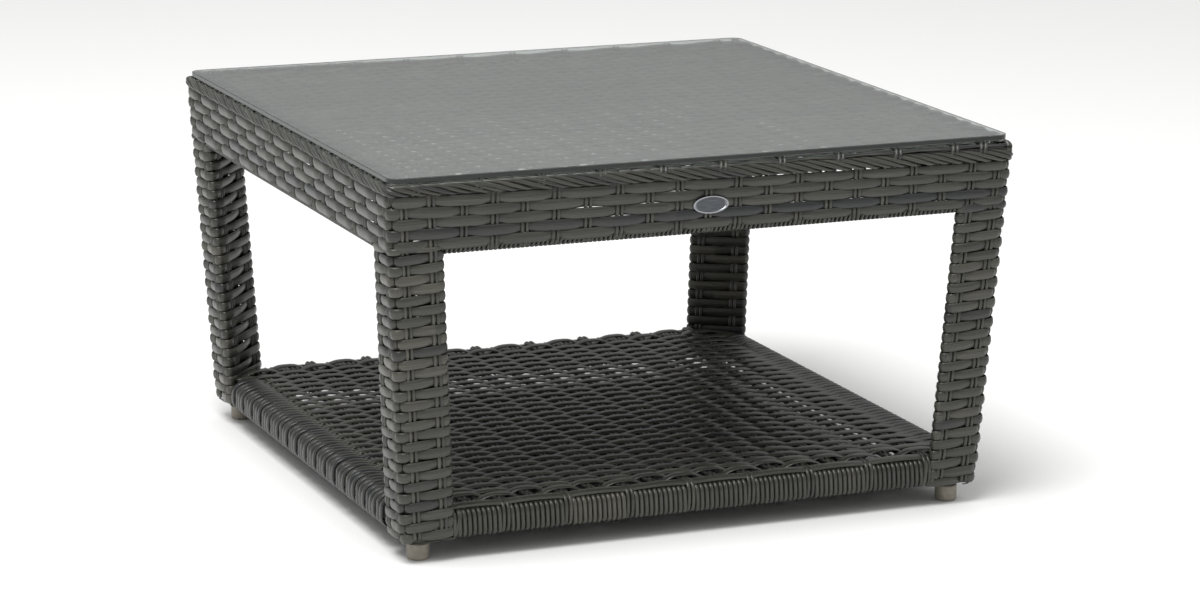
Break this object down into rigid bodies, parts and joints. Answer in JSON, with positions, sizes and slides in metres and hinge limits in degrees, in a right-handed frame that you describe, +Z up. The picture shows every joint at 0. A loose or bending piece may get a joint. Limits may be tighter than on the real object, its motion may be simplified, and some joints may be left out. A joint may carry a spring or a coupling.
{
  "type": "wicker coffee table",
  "caption": "Square woven rattan garden coffee table with a lift-off glass top, tapering legs, a low woven shelf and levelling feet.",
  "frame": {"origin": "on the floor, under the middle of the table", "axes": "+Z up; +X along the front, which faces -Y and carries the oval plate"},
  "size_m": [0.803, 0.803, 0.463],
  "materials": {
    "pe_rattan": "woven extruded polyethylene strands, grey-brown, fine lengthwise grooves",
    "powder_coated_aluminium": "dark powder coat",
    "tempered_glass": "clear float glass, polished edge",
    "clear_silicone": "clear, soft",
    "moulded_nylon": "moulded, light grey-brown",
    "black_nylon": "moulded, black",
    "stamped_stainless": "stamped plate, satin, raised rim"
  },
  "bodies": {
    "table": {"apron_ring": "powder_coated_aluminium", "apron_weave_back": "pe_rattan", "apron_weave_front": "pe_rattan", "apron_weave_left": "pe_rattan", "apron_weave_right": "pe_rattan", "badge_plate": "stamped_stainless", "glass_pad_back_left": "clear_silicone", "glass_pad_back_right": "clear_silicone", "glass_pad_front_left": "clear_silicone", "glass_pad_front_right": "clear_silicone", "leg_corner_rod_back_left": "powder_coated_aluminium", "leg_corner_rod_back_right": "powder_coated_aluminium", "leg_corner_rod_front_left": "powder_coated_aluminium", "leg_corner_rod_front_right": "powder_coated_aluminium", "leg_edge_rod_x_back_left": "powder_coated_aluminium", "leg_edge_rod_x_back_right": "powder_coated_aluminium", "leg_edge_rod_x_front_left": "powder_coated_aluminium", "leg_edge_rod_x_front_right": "powder_coated_aluminium", "leg_edge_rod_y_back_left": "powder_coated_aluminium", "leg_edge_rod_y_back_right": "powder_coated_aluminium", "leg_edge_rod_y_front_left": "powder_coated_aluminium", "leg_edge_rod_y_front_right": "powder_coated_aluminium", "leg_insert_back_left": "black_nylon", "leg_insert_back_right": "black_nylon", "leg_insert_front_left": "black_nylon", "leg_insert_front_right": "black_nylon", "leg_post_back_left": "powder_coated_aluminium", "leg_post_back_right": "powder_coated_aluminium", "leg_post_front_left": "powder_coated_aluminium", "leg_post_front_right": "powder_coated_aluminium", "leg_weave_back_left": "pe_rattan", "leg_weave_back_right": "pe_rattan", "leg_weave_front_left": "pe_rattan", "leg_weave_front_right": "pe_rattan", "shelf_cross_bar_x": "powder_coated_aluminium", "shelf_cross_bar_y": "powder_coated_aluminium", "shelf_rail_back": "powder_coated_aluminium", "shelf_rail_front": "powder_coated_aluminium", "shelf_rail_left": "powder_coated_aluminium", "shelf_rail_right": "powder_coated_aluminium", "shelf_weave": "pe_rattan", "shelf_wrap_back": "pe_rattan", "shelf_wrap_front": "pe_rattan", "shelf_wrap_left": "pe_rattan", "shelf_wrap_right": "pe_rattan", "top_braid_back": "pe_rattan", "top_braid_front": "pe_rattan", "top_braid_left": "pe_rattan", "top_braid_right": "pe_rattan", "top_rail_back": "powder_coated_aluminium", "top_rail_front": "powder_coated_aluminium", "top_rail_left": "powder_coated_aluminium", "top_rail_right": "powder_coated_aluminium", "top_weave": "pe_rattan"},
    "glass": {"glass_top": "tempered_glass"},
    "glide_back_left": {"glide_back_left": "moulded_nylon"},
    "glide_back_right": {"glide_back_right": "moulded_nylon"},
    "glide_front_left": {"glide_front_left": "moulded_nylon"},
    "glide_front_right": {"glide_front_right": "moulded_nylon"}
  },
  "joints": [
    {"name": "glass_lift", "type": "slide", "parent": "table", "child": "glass", "axis": [0, 0, 1], "range_m": [0, 0.15]},
    {"name": "glide_front_left_screw", "type": "slide", "parent": "table", "child": "glide_front_left", "axis": [0, 0, -1], "range_m": [0, 0.008]},
    {"name": "glide_front_right_screw", "type": "slide", "parent": "table", "child": "glide_front_right", "axis": [0, 0, -1], "range_m": [0, 0.008]},
    {"name": "glide_back_right_screw", "type": "slide", "parent": "table", "child": "glide_back_right", "axis": [0, 0, -1], "range_m": [0, 0.008]},
    {"name": "glide_back_left_screw", "type": "slide", "parent": "table", "child": "glide_back_left", "axis": [0, 0, -1], "range_m": [0, 0.008]}
  ]
}
